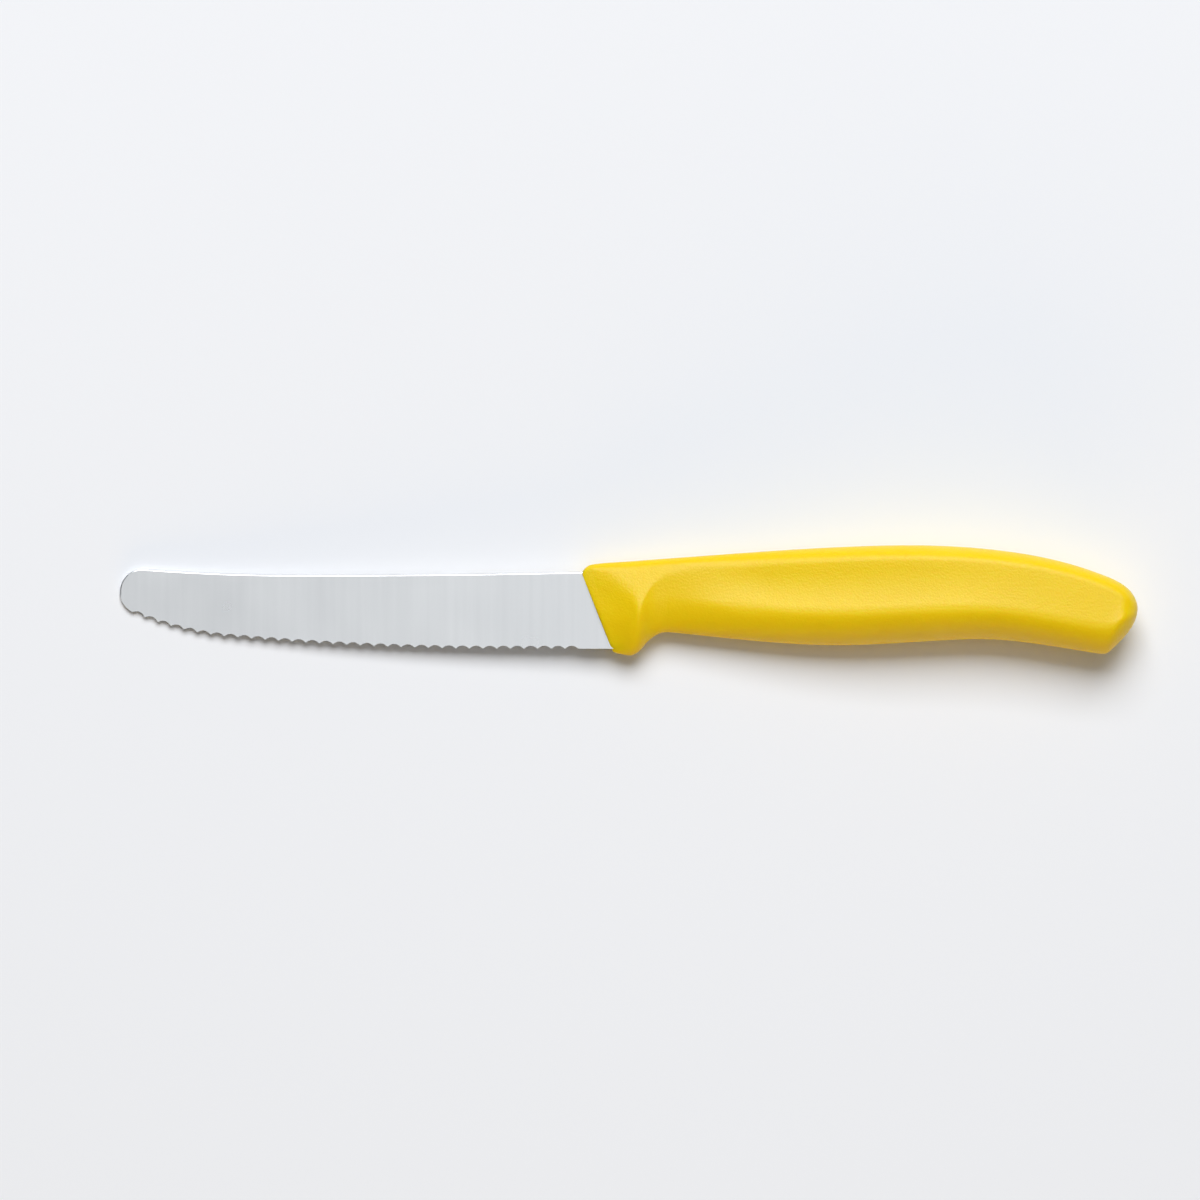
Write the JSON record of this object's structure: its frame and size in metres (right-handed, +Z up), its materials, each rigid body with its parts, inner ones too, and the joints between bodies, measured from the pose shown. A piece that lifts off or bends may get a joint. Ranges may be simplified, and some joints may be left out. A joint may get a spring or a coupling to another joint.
{
  "type": "tomato knife",
  "caption": "Small kitchen knife with a wavy-edged round-tipped blade moulded into a plastic handle, lying on its side.",
  "frame": {"origin": "centre of the knife's footprint, on the surface that it lies on", "axes": "+X towards the butt of the handle, +Y towards the spine, +Z up out of the pictured flank"},
  "size_m": [0.227, 0.0246, 0.0151],
  "materials": {
    "blade_steel": "satin ground flanks with a polished spine",
    "handle_plastic": "fine matte moulded grain"
  },
  "bodies": {
    "root": {"blade": "blade_steel", "handle": "handle_plastic"}
  },
  "joints": []
}
